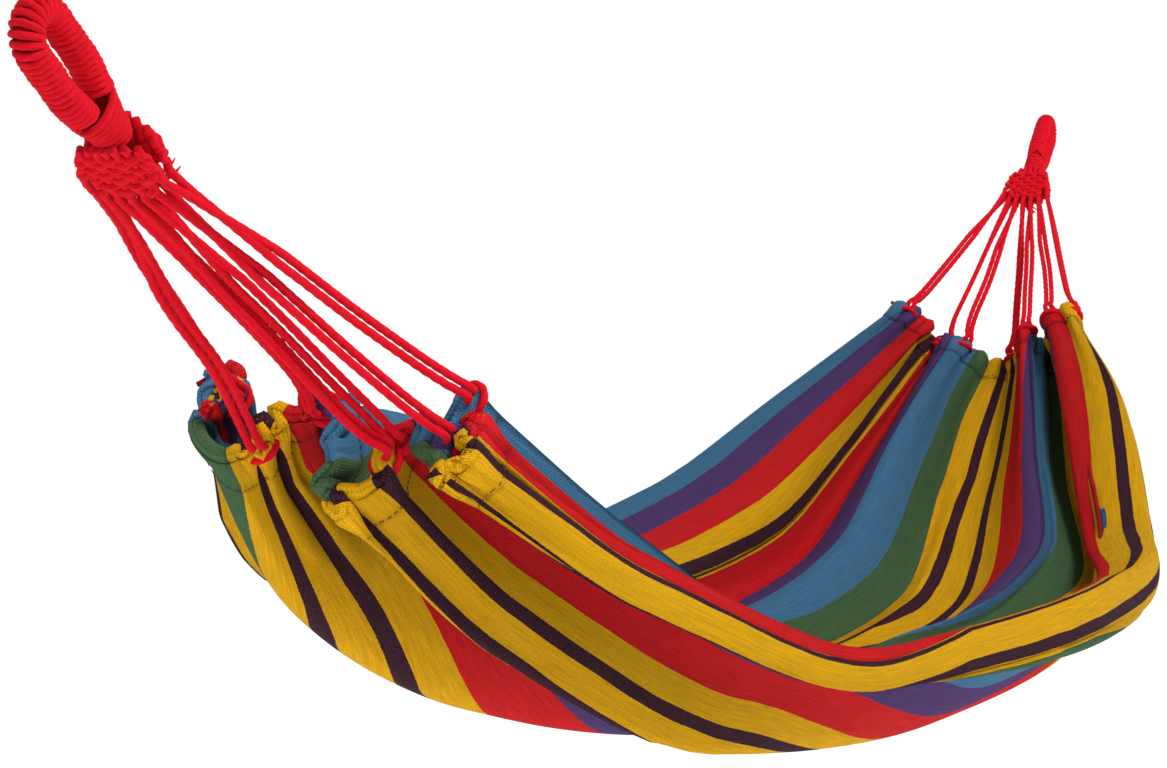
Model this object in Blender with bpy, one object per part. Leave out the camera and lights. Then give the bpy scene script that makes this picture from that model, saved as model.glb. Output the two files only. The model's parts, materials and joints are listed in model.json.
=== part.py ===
"""A gathered cloth hammock, hung between two eye loops.

A striped cotton sheet is gathered onto a rope in the hem at each end. Seven doubled cords fan from each
hem to a woven collar, and the collar hangs below a cord-wrapped eye loop that goes over a hook.

Frame: metres, +Z up, +X from the head end to the foot end. The origin is the top of the head loop's eye,
where the hook bears. Every mesh is built in the neck frame, whose origin is the point where the head
collar meets its loop, and hangs from an empty there.
"""

import math

import bmesh
import bpy
from mathutils import Matrix, Vector

# ---- driving dimensions -------------------------------------------------------------------------------
NECK_SPAN = 2.40            # from one neck to the other, both at the same height
CLOTH_WIDTH = 1.50          # flat width of the sheet, gathered into the folds below
CLOTH_THICKNESS = 0.002
GAP = 0.0004                # clearance between pieces that touch

HEAD_UP = Vector((-0.79, 0.0, 0.613)).normalized()    # from the head neck along its loop
FOOT_UP = Vector((0.77, 0.0, 0.638)).normalized()     # from the foot neck along its loop
HEAD_SPREAD = Vector((0.0, 1.0, 0.0)).cross(HEAD_UP)  # from one leg of the head loop to the other
FOOT_SPREAD = Vector((0.0, 1.0, 0.0)).cross(FOOT_UP)

WRAP_RADIUS = 0.012         # outside of the cord wrapping on the eye loop
LEG_FLARE = 0.40            # share of a leg over which it reaches its full distance from the other
CORE_RADIUS = 0.0075        # bundle of cords inside the wrapping
EYE_RADIUS = 0.005          # inside of the crown, for a hook up to 10 mm thick
CROWN_RISE = 0.095          # from the neck to the centre of the crown's arc
LEG_START = 0.026           # where the two legs leave the whipping
LEG_START_SPACING = 0.025   # between the legs' centres there

BALL_RADIUS = 0.016         # round end of the whipping, centred on the neck
COLLAR_LENGTH = 0.070       # from the neck to the collar's lower face
COLLAR_WIDTH = 0.074
COLLAR_DEPTH = 0.020

CORD_RADIUS = 0.0033
CORD_LEG_SPACING = 0.0085   # between the two legs of one doubled cord
LEG_STEPS = 4               # lengths that a leg is drawn in
TURN_STEPS = 6
HEM_RADIUS = 0.0068         # outside of the hem tunnel
HEM_WALL = 0.0012
ROPE_RADIUS = 0.0026        # rope through the hem tunnel
RIM_CURL_RADIUS = 0.010     # the near edge of the cloth is rolled inwards

# ---- folds of the cloth -------------------------------------------------------------------------------
# Each fold runs the length of the hammock. It is (distance across the cloth from the near selvedge, its
# (y, z) at each station along x). Lobes bulge out and down, valleys stand up into the bed.
STATIONS = (0.285, 0.42, 0.70, 1.10, 1.45, 1.70, 1.95, 2.16)
NEAR_RIM_U = 0.20
FOLDS = {
    "near_rim": (NEAR_RIM_U, ((-.120, -.190), (-.205, -.300), (-.325, -.428), (-.410, -.420),
                              (-.385, -.435), (-.330, -.430), (-.240, -.285), (-.130, -.185))),
    "lobe_1": (0.250, ((-.105, -.240), (-.200, -.345), (-.315, -.468), (-.410, -.465),
                       (-.385, -.485), (-.335, -.480), (-.245, -.360), (-.125, -.235))),
    "valley_1": (0.388, ((-.070, -.195), (-.125, -.290), (-.225, -.425), (-.290, -.465),
                         (-.290, -.480), (-.270, -.455), (-.180, -.320), (-.100, -.205))),
    "lobe_2": (0.564, ((-.035, -.262), (-.085, -.385), (-.165, -.530), (-.215, -.575),
                       (-.260, -.570), (-.270, -.535), (-.170, -.410), (-.078, -.255))),
    "valley_2": (0.739, ((.012, -.200), (-.015, -.300), (-.055, -.450), (-.110, -.520),
                         (-.170, -.515), (-.190, -.470), (-.120, -.345), (-.055, -.215))),
    "lobe_3": (0.915, ((.060, -.255), (.070, -.395), (.050, -.517), (-.010, -.590),
                       (-.070, -.580), (-.090, -.545), (-.050, -.430), (-.020, -.262))),
    "valley_3": (1.090, ((.098, -.195), (.150, -.270), (.150, -.420), (.110, -.530),
                         (.055, -.515), (.050, -.470), (.060, -.345), (.035, -.220))),
    "lobe_4": (1.290, ((.125, -.240), (.195, -.320), (.250, -.450), (.230, -.535),
                       (.170, -.520), (.145, -.480), (.115, -.375), (.078, -.250))),
    "far_rim": (CLOTH_WIDTH, ((.150, -.185), (.235, -.240), (.330, -.350), (.385, -.420),
                              (.360, -.445), (.315, -.410), (.225, -.300), (.120, -.185))),
}
# How far each station leans along x for each metre of height, so that a hem faces its neck.
LEAN = (0.77, 0.45, 0.12, 0.0, 0.0, -0.12, -0.40, -0.77)
# Where the doubled cords tie to each hem, as distances across the cloth.
HEAD_TIES = (0.215, 0.270, 0.480, 0.575, 0.730, 0.920, 1.150)
FOOT_TIES = (0.215, 0.400, 0.700, 0.900, 1.050, 1.250, 1.440)
SPAN_STEPS = 4              # columns of faces between two folds
HEM_STEPS = 8               # points of a hem between two folds, before they are spaced evenly
HEM_PITCH = 0.010           # between a hem's points
HEM_EASING = 3              # smoothing passes along a hem
ROWS = 20                   # rows of faces along the cloth
CLOTH_MARGIN = 0.013        # the cloth starts this far along x beyond each hem

RED = (0.72, 0.012, 0.030, 1.0)
DARK_RED = (0.50, 0.008, 0.020, 1.0)
YELLOW = (0.88, 0.50, 0.010, 1.0)
BLUE = (0.07, 0.25, 0.41, 1.0)


# ---- curves and interpolation -------------------------------------------------------------------------
def slopes(xs, ys):
    """Slope at each point of a smooth line that never overshoots its points."""
    steps = [(ys[i + 1] - ys[i]) / (xs[i + 1] - xs[i]) for i in range(len(xs) - 1)]
    inner = []
    for before, after in zip(steps, steps[1:]):
        inner.append(0.0 if before * after <= 0 else 2 * before * after / (before + after))
    return [steps[0]] + inner + [steps[-1]]


def smooth(xs, ys, x):
    """Cubic line through the points (xs, ys), read at x."""
    m = slopes(xs, ys)
    i = max(0, min(len(xs) - 2, sum(1 for v in xs[1:-1] if v <= x)))
    h = xs[i + 1] - xs[i]
    t = (x - xs[i]) / h
    return ((1 + 2 * t) * (1 - t) ** 2 * ys[i] + t * (1 - t) ** 2 * h * m[i]
            + t * t * (3 - 2 * t) * ys[i + 1] + t * t * (t - 1) * h * m[i + 1])


def rounded(points, steps):
    """Centripetal Catmull-Rom curve through the points, with the given steps in each span."""
    ends = [2 * points[0] - points[1]] + list(points) + [2 * points[-1] - points[-2]]
    knots = [0.0]
    for a, b in zip(ends, ends[1:]):
        knots.append(knots[-1] + math.sqrt((b - a).length))
    curve = []
    for i in range(1, len(ends) - 2):
        p = ends[i - 1:i + 3]
        t = knots[i - 1:i + 3]
        for step in range(steps):
            s = t[1] + (t[2] - t[1]) * step / steps
            a = [p[k].lerp(p[k + 1], (s - t[k]) / (t[k + 1] - t[k])) for k in range(3)]
            b = [a[k].lerp(a[k + 1], (s - t[k]) / (t[k + 2] - t[k])) for k in range(2)]
            curve.append(b[0].lerp(b[1], (s - t[1]) / (t[2] - t[1])))
    curve.append(points[-1].copy())
    return curve


def section(x, steps):
    """The cloth's outline across the hammock at one station, from the near rim to the far rim."""
    knots = []
    for _, places in FOLDS.values():
        y = smooth(STATIONS, [place[0] for place in places], x)
        z = smooth(STATIONS, [place[1] for place in places], x)
        knots.append(Vector((0.0, y, z)))
    middle = (knots[0].z + knots[3].z) / 2
    lean = smooth(STATIONS, LEAN, x)
    curve = rounded(knots, steps)
    for point in curve:
        point.x = x + lean * (point.z - middle)
    return curve


def across(curve, steps, u):
    """The point of a section at a distance u across the cloth."""
    marks = [fold[0] for fold in FOLDS.values()]
    i = max(0, min(len(marks) - 2, sum(1 for v in marks[1:-1] if v <= u)))
    place = (i + (u - marks[i]) / (marks[i + 1] - marks[i])) * steps
    k = min(int(place), len(curve) - 2)
    return curve[k].lerp(curve[k + 1], place - k)


# ---- building blocks ----------------------------------------------------------------------------------
def material(name, colour, roughness):
    made = bpy.data.materials.new(name)
    made.use_nodes = True
    shader = made.node_tree.nodes["Principled BSDF"]
    shader.inputs["Base Color"].default_value = colour
    shader.inputs["Roughness"].default_value = roughness
    shader.inputs["Metallic"].default_value = 0.0
    made.diffuse_color = colour
    return made


def place(obj, parent, finish):
    bpy.context.scene.collection.objects.link(obj)
    obj.parent = parent
    obj.data.materials.append(finish)
    return obj


def tube(name, points, radius, parent, finish, sides=2):
    """A round cord along the points, with closed ends."""
    data = bpy.data.curves.new(name, "CURVE")
    data.dimensions = "3D"
    data.bevel_depth = radius
    data.bevel_resolution = sides
    data.use_fill_caps = True
    data.twist_mode = "MINIMUM"
    spline = data.splines.new("POLY")
    spline.points.add(len(points) - 1)
    for point, place_at in zip(spline.points, points):
        point.co = (*place_at, 1.0)
    return place(bpy.data.objects.new(name, data), parent, finish)


def sleeve(name, points, radius, wall, parent, finish, sides=2):
    """A hollow tube along the points, open at both ends."""
    obj = tube(name, points, radius, parent, finish, sides)
    obj.data.use_fill_caps = False
    shell = obj.modifiers.new("wall", "SOLIDIFY")
    shell.thickness = wall
    shell.offset = -1.0
    return obj


def loft(name, rings, parent, finish):
    """A closed solid through rings of equally many points, with a flat cap at each end."""
    mesh = bpy.data.meshes.new(name)
    shape = bmesh.new()
    rows = [[shape.verts.new(point) for point in ring] for ring in rings]
    for low, high in zip(rows, rows[1:]):
        for k in range(len(low)):
            n = (k + 1) % len(low)
            shape.faces.new((low[k], low[n], high[n], high[k]))
    shape.faces.new(list(reversed(rows[0])))
    shape.faces.new(rows[-1])
    bmesh.ops.recalc_face_normals(shape, faces=shape.faces)
    shape.to_mesh(mesh)
    shape.free()
    mesh.shade_smooth()
    mesh.set_sharp_from_angle(angle=math.radians(40))
    return place(bpy.data.objects.new(name, mesh), parent, finish)


def oval(centre, wide, deep, half_width, half_depth, count=16, power=0.9):
    ring = []
    for k in range(count):
        turn = 2 * math.pi * k / count
        c, s = math.cos(turn), math.sin(turn)
        along = math.copysign(abs(c) ** power, c) * half_width
        out = math.copysign(abs(s) ** power, s) * half_depth
        ring.append(centre + wide * along + deep * out)
    return ring


# ---- pieces -------------------------------------------------------------------------------------------
def loop_path(neck, up, spread):
    """Centre line of an eye loop: up one leg, round the crown and down the other."""
    crown_radius = EYE_RADIUS + WRAP_RADIUS
    start = LEG_START_SPACING / 2
    leg = 5
    sides = []
    for side in (-1, 1):
        points = []
        for k in range(leg):
            t = k / leg
            flare = min(1.0, t / LEG_FLARE)
            offset = start + (crown_radius - start) * flare * flare * (3 - 2 * flare)
            rise = LEG_START + (CROWN_RISE - LEG_START) * t
            points.append(neck + up * rise + spread * (side * offset))
        sides.append(points)
    arc = 10
    crown = []
    for k in range(arc + 1):
        turn = math.pi * k / arc
        crown.append(neck + up * (CROWN_RISE + crown_radius * math.sin(turn))
                     - spread * (crown_radius * math.cos(turn)))
    return sides[0] + crown + sides[1][::-1]


def eye_loop(end, neck, up, spread, parent, finish, dark):
    path = loop_path(neck, up, spread)
    tube(end + "_loop_core", path, CORE_RADIUS, parent, dark)
    wall = WRAP_RADIUS - CORE_RADIUS - GAP
    sleeve(end + "_loop_wrap", path[1:-1], WRAP_RADIUS, wall, parent, finish)


def whipping(end, neck, up, spread, parent, finish):
    """The bound neck under a loop. Its lower end is a ball, so that the collar can turn under it."""
    side = up.cross(spread)
    rings = []
    for k in range(1, 7):
        turn = math.pi / 2 * k / 6
        reach = BALL_RADIUS * math.sin(turn)
        rings.append(oval(neck - up * (BALL_RADIUS * math.cos(turn)), spread, side, reach, reach, power=1.0))
    for rise, wide, deep in ((0.010, 0.0185, 0.0150), (0.018, 0.0225, 0.0135), (0.0205, 0.0240, 0.0125),
                             (LEG_START - 0.0030, 0.0225, 0.0110)):
        rings.append(oval(neck + up * rise, spread, side, wide, deep, power=1.0))
    loft(end + "_whipping", rings, parent, finish)


def collar(end, neck, up, parent, finish):
    """Woven fan under the neck: round where it cups the whipping's ball, wide and flat at its lower face."""
    side = Vector((0, 1, 0))
    depth = side.cross(up)
    rings = []
    cup = BALL_RADIUS + 2 * GAP
    for turn in (0.12, 0.45, 0.80, 1.12):
        reach = cup * math.sin(turn)
        rings.append(oval(neck - up * (cup * math.cos(turn)), side, depth, reach, reach, power=1.0))
    for drop, wide, deep in ((0.0062, 0.0200, 0.0180), (0.016, 0.0270, 0.0190), (0.032, 0.0330, 0.0165),
                             (0.052, 0.0365, 0.0120), (COLLAR_LENGTH, COLLAR_WIDTH / 2, COLLAR_DEPTH / 2)):
        rings.append(oval(neck - up * drop, side, depth, wide, deep, power=1.0))
    loft(end + "_collar", rings, parent, finish)


def evenly(points, pitch):
    """The same line with its points an equal distance apart, close to the pitch."""
    marks = [0.0]
    for a, b in zip(points, points[1:]):
        marks.append(marks[-1] + (b - a).length)
    count = round(marks[-1] / pitch)
    spaced = [points[0].copy()]
    k = 0
    for number in range(1, count):
        reach = marks[-1] * number / count
        while marks[k + 1] < reach:
            k += 1
        spaced.append(points[k].lerp(points[k + 1], (reach - marks[k]) / (marks[k + 1] - marks[k])))
    return spaced + [points[-1].copy()]


def hem_line(station):
    """The hem follows the folds of the cloth, with their turns eased to what a rope can make."""
    line = evenly(section(station, HEM_STEPS), HEM_PITCH)
    for _ in range(HEM_EASING):
        middle = [(a + 2 * b + c) / 4 for a, b, c in zip(line, line[1:], line[2:])]
        line = [line[0]] + middle + [line[-1]]
    return line


def tie_point(station, line, u):
    """The point of a hem that holds the cloth at a distance u across it."""
    held = across(section(station, HEM_STEPS), HEM_STEPS, u)
    return min(line, key=lambda point: (point - held).length)


def hem(end, station, parent, finish, rope_finish):
    """The hem tunnel along one end of the cloth, and the rope that runs through it with a knot at each end."""
    line = hem_line(station)
    sleeve(end + "_hem", line, HEM_RADIUS, HEM_WALL, parent, finish)
    out_near = (line[0] - line[1]).normalized()
    out_far = (line[-1] - line[-2]).normalized()
    reach = 0.012
    route = [line[0] + out_near * reach] + line + [line[-1] + out_far * reach]
    tube(end + "_hem_rope", route, ROPE_RADIUS, parent, rope_finish)


def doubled_cords(end, neck, up, station, ties, parent, finish):
    """Each cord leaves the collar, turns round at the hem and comes back above itself."""
    line = hem_line(station)
    side = Vector((0, 1, 0))
    depth = side.cross(up)
    bend = CORD_LEG_SPACING / 2
    clear = CORD_RADIUS + 3 * GAP
    room = COLLAR_WIDTH - 3 * CORD_RADIUS
    for number, u in enumerate(ties, start=1):
        knot = tie_point(station, line, u)
        share = (number - 1) / (len(ties) - 1) - 0.5
        start = neck - up * (COLLAR_LENGTH + clear) + side * (share * room)
        run = (knot - start).normalized()
        turn_centre = knot - run * (HEM_RADIUS + bend + clear)
        apart = (depth - run * depth.dot(run)).normalized() * bend
        points = []
        for k in range(LEG_STEPS):
            points.append((start - depth * bend).lerp(turn_centre - apart, k / LEG_STEPS))
        for k in range(TURN_STEPS + 1):
            angle = math.pi * k / TURN_STEPS
            points.append(turn_centre - apart * math.cos(angle) + run * (bend * math.sin(angle)))
        for k in range(LEG_STEPS - 1, -1, -1):
            points.append((start + depth * bend).lerp(turn_centre + apart, k / LEG_STEPS))
        tube(f"{end}_cord_{number}", points, CORD_RADIUS, parent, finish)


def cloth(parent, finish):
    """The sheet between the hems, its near edge rolled inwards and its far edge plain."""
    first = STATIONS[0] + CLOTH_MARGIN
    last = STATIONS[-1] - CLOTH_MARGIN
    curl = []
    for k in range(6, 0, -1):
        turn = math.radians(38) * k
        curl.append((RIM_CURL_RADIUS * (1 - math.cos(turn)), RIM_CURL_RADIUS * math.sin(turn)))
    mesh = bpy.data.meshes.new("bed_cloth")
    shape = bmesh.new()
    rows = []
    for row in range(ROWS + 1):
        t = row / ROWS
        spread = 0.6 * t + 0.4 * (1 - math.cos(math.pi * t)) / 2
        line = section(first + (last - first) * spread, SPAN_STEPS)
        rim = line[0]
        rolled = [rim + Vector((0, inwards, up)) for inwards, up in curl]
        rows.append([shape.verts.new(point) for point in rolled + line])
    for low, high in zip(rows, rows[1:]):
        for k in range(len(low) - 1):
            shape.faces.new((low[k], low[k + 1], high[k + 1], high[k]))
    bmesh.ops.recalc_face_normals(shape, faces=shape.faces)
    shape.to_mesh(mesh)
    shape.free()
    mesh.shade_smooth()
    obj = place(bpy.data.objects.new("bed_cloth", mesh), parent, finish)
    thick = obj.modifiers.new("thickness", "SOLIDIFY")
    thick.thickness = CLOTH_THICKNESS
    thick.offset = 0.0


def empty(name, location, parent=None):
    obj = bpy.data.objects.new(name, None)
    bpy.context.scene.collection.objects.link(obj)
    obj.location = location
    obj.parent = parent
    return obj


def main():
    for obj in list(bpy.data.objects):
        bpy.data.objects.remove(obj)
    red = material("red cord", RED, 0.85)
    dark = material("red core", DARK_RED, 0.9)
    yellow = material("yellow hem", YELLOW, 0.9)
    blue = material("striped cloth", BLUE, 0.9)

    head_neck = Vector((0, 0, 0))
    foot_neck = Vector((NECK_SPAN, 0, 0))
    neck_frame = HEAD_UP * -(CROWN_RISE + EYE_RADIUS)
    hangers = empty("hangers_frame", neck_frame)
    bed = empty("bed_swing_axis", neck_frame)
    for end, neck, up, spread, station, ties in (
        ("head", head_neck, HEAD_UP, HEAD_SPREAD, STATIONS[0], HEAD_TIES),
        ("foot", foot_neck, FOOT_UP, FOOT_SPREAD, STATIONS[-1], FOOT_TIES),
    ):
        eye_loop(end, neck, up, spread, hangers, red, dark)
        whipping(end, neck, up, spread, hangers, red)
        collar(end, neck, up, bed, red)
        doubled_cords(end, neck, up, station, ties, bed, red)
        hem(end, station, bed, yellow, dark)
    cloth(bed, blue)
    bpy.context.view_layer.update()


main()
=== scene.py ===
"""The looks of the gathered hammock: striped cloth, stitched hems, cords, woven collars and wrapped loops.

Everything is placed in the neck frame, whose origin is the head neck, and then moved by NECK into the row
frame. Lengths are in metres, and "flat" distances are measured on the cloth before it was gathered.
"""

import json
import math

import bpy
import numpy as np
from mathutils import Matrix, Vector

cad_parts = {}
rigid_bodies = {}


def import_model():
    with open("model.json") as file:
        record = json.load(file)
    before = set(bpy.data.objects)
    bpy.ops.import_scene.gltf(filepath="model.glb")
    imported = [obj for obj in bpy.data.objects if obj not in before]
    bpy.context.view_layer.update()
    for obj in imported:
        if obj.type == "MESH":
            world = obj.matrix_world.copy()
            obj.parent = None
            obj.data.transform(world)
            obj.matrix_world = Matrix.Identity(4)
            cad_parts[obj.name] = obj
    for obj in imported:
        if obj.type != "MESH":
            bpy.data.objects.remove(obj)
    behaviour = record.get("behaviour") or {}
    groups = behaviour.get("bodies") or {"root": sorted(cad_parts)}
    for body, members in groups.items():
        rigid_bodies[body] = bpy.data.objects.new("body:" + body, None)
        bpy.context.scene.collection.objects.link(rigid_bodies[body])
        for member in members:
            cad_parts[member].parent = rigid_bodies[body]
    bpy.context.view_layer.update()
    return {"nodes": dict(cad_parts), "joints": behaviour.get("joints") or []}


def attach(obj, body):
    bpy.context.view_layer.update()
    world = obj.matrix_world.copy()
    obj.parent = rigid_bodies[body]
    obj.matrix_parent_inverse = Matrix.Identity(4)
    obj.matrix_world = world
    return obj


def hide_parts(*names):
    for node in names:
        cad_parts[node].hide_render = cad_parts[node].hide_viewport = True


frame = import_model()

NECK = np.array(frame["joints"][0]["pos_m"], float)
SPAN = 2.40
ENDS = ("head", "foot")
NECKS = {"head": np.array([0.0, 0.0, 0.0]), "foot": np.array([SPAN, 0.0, 0.0])}
UPS = {"head": np.array([-0.79, 0.0, 0.613]), "foot": np.array([0.77, 0.0, 0.638])}
SIDE = np.array([0.0, 1.0, 0.0])

# ---- the flat cloth -----------------------------------------------------------------------------------
CLOTH_WIDTH = 1.5
CLOTH_LENGTH = 2.0
# One repeat of the warp stripes, and the narrower groups at the two selvedges.
GROUP = (("G", 0.048), ("B", 0.064), ("P", 0.054), ("R", 0.052), ("Y", 0.0335), ("D", 0.0165),
         ("Y", 0.0335), ("D", 0.0165), ("Y", 0.0335))
NEAR_GROUP = (("B", 0.040),) + GROUP[2:]
FAR_GROUP = (("R", 0.052), ("P", 0.054), ("B", 0.040))
STRIPES = NEAR_GROUP + 3 * GROUP + FAR_GROUP
STRIPE_COLOURS = {
    "B": (0.040, 0.205, 0.385), "P": (0.078, 0.042, 0.190), "R": (0.740, 0.002, 0.012),
    "Y": (0.900, 0.470, 0.000), "D": (0.028, 0.006, 0.026), "G": (0.045, 0.150, 0.062),
}

# ---- the folds ----------------------------------------------------------------------------------------
# A line runs the length of the bed along each fold, given as its (y, z) at each station.
STATIONS = (0.285, 0.42, 0.70, 1.10, 1.45, 1.70, 1.95, 2.16)
RIM = ((-.120, -.207), (-.205, -.320), (-.325, -.428), (-.410, -.420),
       (-.385, -.435), (-.330, -.430), (-.240, -.285), (-.130, -.185))
# The selvedge stands behind the near rim, and the cloth turns back up below it: both as steps from the rim.
SELVEDGE_STEPS = ((.014, .018), (.018, .016), (.024, -.020), (.030, -.040),
                  (.035, -.045), (.028, -.062), (.028, -.060), (.020, -.045))
TURN_STEPS = ((.024, -.030), (.027, -.034), (.032, -.036), (.045, -.030),
              (.060, -.030), (.075, -.032), (.075, -.035), (.045, -.022))
FOLDS_BELOW_RIM = (
    # underside of the near roll
    ((-.105, -.258), (-.206, -.368), (-.322, -.468), (-.408, -.476),
     (-.385, -.485), (-.335, -.480), (-.245, -.360), (-.125, -.225)),
    # tuck behind the near roll
    ((-.070, -.215), (-.125, -.290), (-.225, -.430), (-.335, -.508),
     (-.315, -.525), (-.270, -.450), (-.180, -.320), (-.105, -.205)),
    # underside of the second lobe
    ((-.030, -.280), (-.085, -.405), (-.165, -.535), (-.215, -.577),
     (-.260, -.570), (-.270, -.535), (-.170, -.410), (-.085, -.260)),
    # tuck behind the second lobe
    ((.020, -.200), (-.005, -.235), (-.055, -.395), (-.110, -.520),
     (-.170, -.515), (-.190, -.470), (-.120, -.355), (-.055, -.220)),
    # underside of the far lobe
    ((.085, -.245), (.070, -.395), (.050, -.517), (-.010, -.590),
     (-.070, -.580), (-.090, -.545), (-.050, -.430), (-.030, -.265)),
    # foot of the far side
    ((.125, -.220), (.150, -.330), (.120, -.480), (.050, -.570),
     (.000, -.560), (-.020, -.530), (.000, -.420), (.020, -.260)),
    # lower bulge of the far side
    ((.100, -.185), (.160, -.250), (.160, -.420), (.120, -.530),
     (.055, -.515), (.050, -.470), (.060, -.345), (.055, -.230)),
    # crease of the far side
    ((.115, -.215), (.180, -.290), (.240, -.430), (.220, -.540),
     (.160, -.530), (.130, -.500), (.115, -.385), (.085, -.250)),
    # upper bulge of the far side
    ((.105, -.185), (.190, -.240), (.260, -.380), (.260, -.480),
     (.180, -.475), (.160, -.430), (.130, -.320), (.085, -.215)),
    # far rim
    ((.125, -.190), (.200, -.230), (.330, -.340), (.385, -.420),
     (.360, -.445), (.315, -.410), (.225, -.300), (.120, -.185)),
)
SELVEDGE, TURN, NEAR_RIM, NEAR_ROLL, NEAR_TUCK, SECOND_LOBE, SECOND_TUCK, FAR_LOBE, FAR_FOOT, LOWER_BULGE, \
    CREASE, UPPER_BULGE, FAR_RIM = range(13)
# The stripe that lies along four of the folds: its letter, which of that letter's stripes it is counting from
# the near selvedge, and how far across it the fold runs.
STRIPE_STATIONS = (0.285, 0.70, 1.10, 1.70, 2.16)
STRIPE_AT_FOLD = {
    NEAR_RIM: (("R", 1, .4), ("R", 1, .7), ("D", 1, .9), ("Y", 2, .5), ("D", 1, .5)),
    SECOND_LOBE: (("Y", 6, .3), ("Y", 5, .8), ("Y", 4, .5), ("D", 4, .5), ("G", 2, .2)),
    FAR_LOBE: (("G", 3, .2), ("R", 3, .9), ("P", 3, .5), ("D", 5, .5), ("Y", 8, .5)),
    CREASE: (("R", 4, .3), ("R", 4, .3), ("R", 4, .3), ("R", 4, .3), ("R", 4, .6)),
}
# A lobe's outer face is this much flat cloth for each metre of it: gathered at the hems, smooth between them.
FACE_FULLNESS = (2.0, 1.5, 1.3, 1.1, 1.0, 1.0, 1.2, 2.0)
FAR_LOBE_FULLNESS = (2.7, 2.0, 1.75, 1.3, 1.0, 1.0, 1.2, 2.0)      # the same for the far lobe's face
WRAP = 0.85                  # share of the way into a tuck over which the cloth lies like the lobe's face
LEAST_FULLNESS = 0.75        # of the cloth hidden between two faces, where a fold takes little of it
LEAN = (0.77, 0.45, 0.12, 0.0, 0.0, -0.12, -0.40, -0.77)     # of each station, along x for each metre up
LEAN_FOLDS = (NEAR_RIM, SECOND_LOBE)     # a station leans about the middle of these two folds
# Narrow pleats swallow part of the cloth: how far they stand out of it, the stripes where they start and end,
# then the stations and how much of them is swallowed there.
PLEATS = (
    (-0.005, (("Y", 1), ("Y", 2)), (0.285, 0.36, 0.50, 1.10, 1.62), (0.50, 0.78, 0.94, 0.94, 0.0)),
    (-0.003, (("Y", 3), ("G", 1)), (0.50, 0.80, 1.10, 1.45), (0.0, 0.85, 0.85, 0.0)),
    (0.028, (("Y", 10), ("D", 8)), (0.285, 0.50, 1.00, 1.95, 2.16), (0.0, 0.94, 0.94, 0.94, 0.70)),
)

# ---- hems and cords -----------------------------------------------------------------------------------
HEM_DEPTH = 0.040
# The gathers near a hem: the flat width of one, how deep it is, and the distance over which it fades.
GATHERS = ((0.030, 0.95, 0.085), (0.062, 0.70, 0.17), (0.125, 0.40, 0.40))
HEM_RADIUS = 0.0072
SEAM_HALF = 0.0012
SHEET_HALF = 0.0005
SLANT = 1.27                 # length along the cloth for each metre along x, at a hem
COLUMNS = 300
WEAVE_PITCH = 0.0013
WEFT_SHOWN = 0.62            # how strongly the darker weft shows through
WEFT_COLOUR = (0.30, 0.085, 0.02, 1.0)
WORN_COLOUR = (0.62, 0.56, 0.50, 1.0)
CREASE_HEIGHT = 0.0016       # of the slight creases that run the length of the bed
RUMPLE_HEIGHT = 0.0014       # of the slighter unevenness everywhere
STITCHES = 190
STITCH_SHARES = np.array([0.15, 0.80])     # of its pitch, where a stitch starts and stops
STITCH_RISE = 0.0024         # from the middle of the seam
STITCH_HALF = 0.0003
HEM_ROPE_RADIUS = 0.0026
ROPE_STICKS_OUT = 0.012      # of the hem at each end of it
CORD_RADIUS = 0.0034
CORD_LAY = 0.0115            # length of one turn of a cord's strands
LEG_OFFSET = 0.0039          # from the middle of a pair to each leg
LEG_OFFSET_AT_COLLAR = 0.0040        # the same through the collar's depth
LEG_TURNS_OVER = 0.35        # share of its length over which a pair turns from one to the other
LEG_RISES_FROM = 0.82        # share of its length from which a leg comes out to the hitch's face
LEG_RISE = 0.85              # of the hitch's half thickness
LEG_STOPS_SHORT = 0.006
RING_ACROSS = 0.0125         # half the hitch round the gathered hem, along the hem and through the cloth
RING_THROUGH = 0.0115
RING_DROP = 0.004            # from the hem's rope down to the hitch
RING_TURNS = 1.22
RING_PITCH = 0.0070
KNOT_FACING = np.array([-0.9, -0.4, 0.1])
# How wavy each pair of legs is, from the near rim to the far one.
WAVES = {
    "head": (0.0006, 0.0006, 0.0005, 0.0005, 0.0006, 0.0035, 0.0006),
    "foot": (0.0006, 0.0012, 0.0006, 0.0006, 0.0020, 0.0006, 0.0006),
}
TIE_REACH = 0.008            # of a CAD cord's end that is read to find where it meets the hem
# The collar: half its width and half its depth at heights along the loop, measured from the neck.
COLLAR_HEIGHTS = (-0.072, -0.045, -0.020, 0.0, 0.005)
COLLAR_HALF_WIDTH = (0.0330, 0.0310, 0.0255, 0.0195, 0.0165)
COLLAR_HALF_DEPTH = (0.0043, 0.0055, 0.0095, 0.0165, 0.0170)
COLLAR_SHIFT = {"head": np.array([-0.006, 0.013, 0.0]), "foot": np.zeros(3)}    # of its lower edge
COLLAR_TOP = 0.000
COLLAR_SLOPE = 0.009         # how much lower the outer cords start, clear of the whipping when the bed swings
COLLAR_FOOT = -0.070
COLLAR_SHOULDER = 0.020      # how much higher the outer cords leave the collar
WEFT_TOP = -0.016
WEFT_ROWS = 7
WEFT_STEP = 0.0068
WEFT_FULL_ROWS = 3           # the rows that reach the outer cords
WEFT_NARROWS = 0.10          # share of the width that each later row loses
WEFT_OVER = 0.0036           # out of the collar's face where the weft goes over a cord, and under one
WEFT_UNDER = -0.0010
WARP_SWAY = 0.0017           # how far a cord moves in and out of the weft
WOVEN_TOP = -0.012
WOVEN_FADE = 0.008
TUFT_ENDS = 9
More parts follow.
